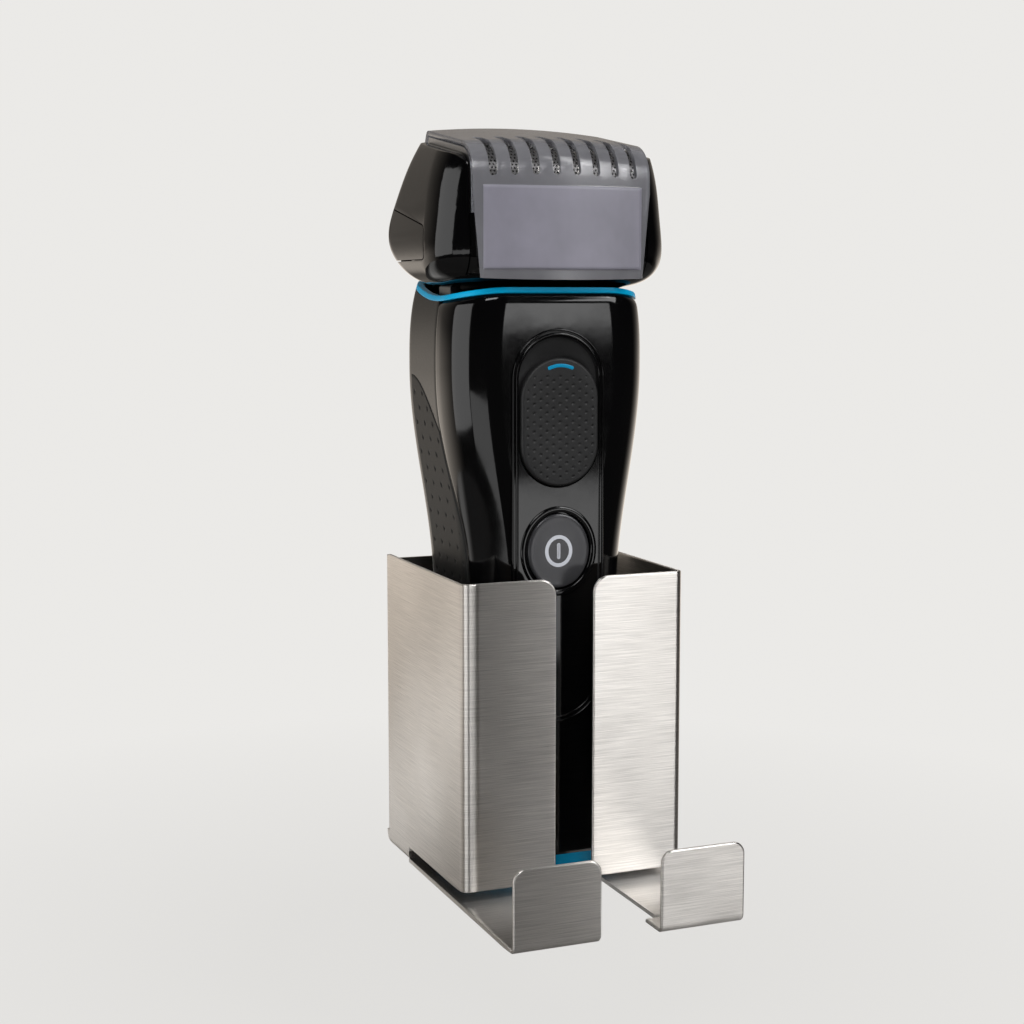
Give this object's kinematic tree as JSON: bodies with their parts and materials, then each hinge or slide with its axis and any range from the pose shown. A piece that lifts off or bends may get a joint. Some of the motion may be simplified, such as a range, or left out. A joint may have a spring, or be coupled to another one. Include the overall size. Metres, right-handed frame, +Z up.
{
  "type": "wall-mounted razor holder",
  "caption": "Folded steel wall holder with two hooked arms, holding a foil shaver with slider, power button, tilting head and slotted cap.",
  "frame": {"origin": "centre of the adhesive pad's wall face", "axes": "+Z up, +Y into the wall, +X to the right seen from the front"},
  "size_m": [0.0622, 0.09, 0.1864],
  "materials": {
    "brushed_steel": "horizontally brushed stainless sheet",
    "foam_pad": "closed-cell adhesive foam",
    "gloss_black": "piano black gloss",
    "satin_black": "fine satin",
    "grip_rubber": "dotted soft rubber",
    "slider_rubber": "dotted soft rubber",
    "cyan_plastic": "cyan satin gloss",
    "button_grey": "dark grey gloss",
    "socket_plastic": "matt",
    "contact_brass": "bright",
    "chassis_plastic": "matt",
    "battery_wrap": "shrink film",
    "board_green": "solder mask",
    "switch_black": "matt",
    "screw_steel": "bright zinc",
    "pin_steel": "ground",
    "yoke_plastic": "fine satin",
    "blade_steel": "ground",
    "core_iron": "laminated",
    "coil_copper": "enamelled wire",
    "cassette_silver": "satin chrome plating",
    "foil_nickel": "perforated nickel",
    "smoked_clear": "smoked, clear and frosted"
  },
  "bodies": {
    "holder": {"wall_bracket": "brushed_steel", "adhesive_pad": "foam_pad"},
    "handle": {"front_shell": "gloss_black", "rear_shell": "satin_black", "left_grip": "grip_rubber", "right_grip": "grip_rubber", "front_panel": "gloss_black", "neck_ring": "cyan_plastic", "bottom_cap": "cyan_plastic", "charging_socket": "socket_plastic", "socket_pins": "contact_brass", "inner_chassis": "chassis_plastic", "battery_cell": "battery_wrap", "circuit_board": "board_green", "power_switch": "switch_black", "chassis_screws": "screw_steel", "neck_yoke": "yoke_plastic", "pivot_pins": "pin_steel", "trimmer_guide": "satin_black"},
    "button": {"power_button": "button_grey", "button_stem": "socket_plastic"},
    "slider": {"lock_slider": "slider_rubber", "slider_carrier": "socket_plastic"},
    "trimmer": {"trimmer_slide": "satin_black", "trimmer_comb": "blade_steel"},
    "trimmer_blade": {"trimmer_cutter": "blade_steel"},
    "head": {"head_housing": "gloss_black", "motor_stator": "core_iron", "motor_coils": "coil_copper"},
    "left_release_button": {"left_release": "gloss_black"},
    "right_release_button": {"right_release": "gloss_black"},
    "drive": {"motor_armature": "core_iron", "drive_pins": "pin_steel"},
    "cassette": {"cassette_frame": "cassette_silver"},
    "front_foil_unit": {"front_foil": "foil_nickel"},
    "rear_foil_unit": {"rear_foil": "foil_nickel"},
    "middle_comb_unit": {"middle_trimmer": "foil_nickel"},
    "front_blades": {"front_cutter": "blade_steel"},
    "rear_blades": {"rear_cutter": "blade_steel"},
    "middle_blades": {"middle_cutter": "blade_steel"},
    "cap": {"protective_cap": "smoked_clear"}
  },
  "joints": [
    {"name": "shaver_lift", "type": "slide", "parent": "holder", "child": "handle", "axis": [0, 0, 1], "range_m": [0, 0.085]},
    {"name": "power_press", "type": "slide", "parent": "handle", "child": "button", "axis": [0, 1, 0], "range_m": [0, 0.0008], "stiffness_N_per_m": 1500, "springref_m": -0.0004},
    {"name": "lock_slide", "type": "slide", "parent": "handle", "child": "slider", "axis": [0, 0, 1], "range_m": [0, 0.0046]},
    {"name": "trimmer_raise", "type": "slide", "parent": "handle", "child": "trimmer", "axis": [0, 0, 1], "range_m": [0, 0.012]},
    {"name": "trimmer_stroke", "type": "slide", "parent": "trimmer", "child": "trimmer_blade", "axis": [1, 0, 0], "range_m": [-0.001, 0.001], "stiffness_N_per_m": 200},
    {"name": "head_tilt", "type": "hinge", "parent": "handle", "child": "head", "pos_m": [0, -0.02985, 0.1116], "axis": [1, 0, 0], "range_deg": [-6, 6], "stiffness_Nm_per_rad": 0.25},
    {"name": "left_release_press", "type": "slide", "parent": "head", "child": "left_release_button", "axis": [1, 0, 0], "range_m": [0, 0.001], "stiffness_N_per_m": 1500, "springref_m": -0.0004},
    {"name": "right_release_press", "type": "slide", "parent": "head", "child": "right_release_button", "axis": [-1, 0, 0], "range_m": [0, 0.001], "stiffness_N_per_m": 1500, "springref_m": -0.0004},
    {"name": "drive_stroke", "type": "slide", "parent": "head", "child": "drive", "axis": [1, 0, 0], "range_m": [-0.001, 0.001], "stiffness_N_per_m": 400},
    {"name": "cassette_lift", "type": "slide", "parent": "head", "child": "cassette", "axis": [0, 0, 1], "range_m": [0, 0.025]},
    {"name": "front_foil_float", "type": "slide", "parent": "cassette", "child": "front_foil_unit", "axis": [0, 0, -1], "range_m": [0, 0.0012], "stiffness_N_per_m": 400, "springref_m": -0.001},
    {"name": "rear_foil_float", "type": "slide", "parent": "cassette", "child": "rear_foil_unit", "axis": [0, 0, -1], "range_m": [0, 0.0012], "stiffness_N_per_m": 400, "springref_m": -0.001},
    {"name": "middle_comb_float", "type": "slide", "parent": "cassette", "child": "middle_comb_unit", "axis": [0, 0, -1], "range_m": [0, 0.0012], "stiffness_N_per_m": 400, "springref_m": -0.001},
    {"name": "front_blades_stroke", "type": "slide", "parent": "front_foil_unit", "child": "front_blades", "axis": [1, 0, 0], "range_m": [-0.001, 0.001]},
    {"name": "rear_blades_stroke", "type": "slide", "parent": "rear_foil_unit", "child": "rear_blades", "axis": [1, 0, 0], "range_m": [-0.001, 0.001]},
    {"name": "middle_blades_stroke", "type": "slide", "parent": "middle_comb_unit", "child": "middle_blades", "axis": [1, 0, 0], "range_m": [-0.001, 0.001]},
    {"name": "cap_pull", "type": "slide", "parent": "cassette", "child": "cap", "axis": [0, 0, 1], "range_m": [0, 0.04]}
  ],
  "couplings": [
    {"joint": "front_blades_stroke", "follows": "drive_stroke", "ratio": 1},
    {"joint": "rear_blades_stroke", "follows": "drive_stroke", "ratio": 1},
    {"joint": "middle_blades_stroke", "follows": "drive_stroke", "ratio": 1}
  ]
}
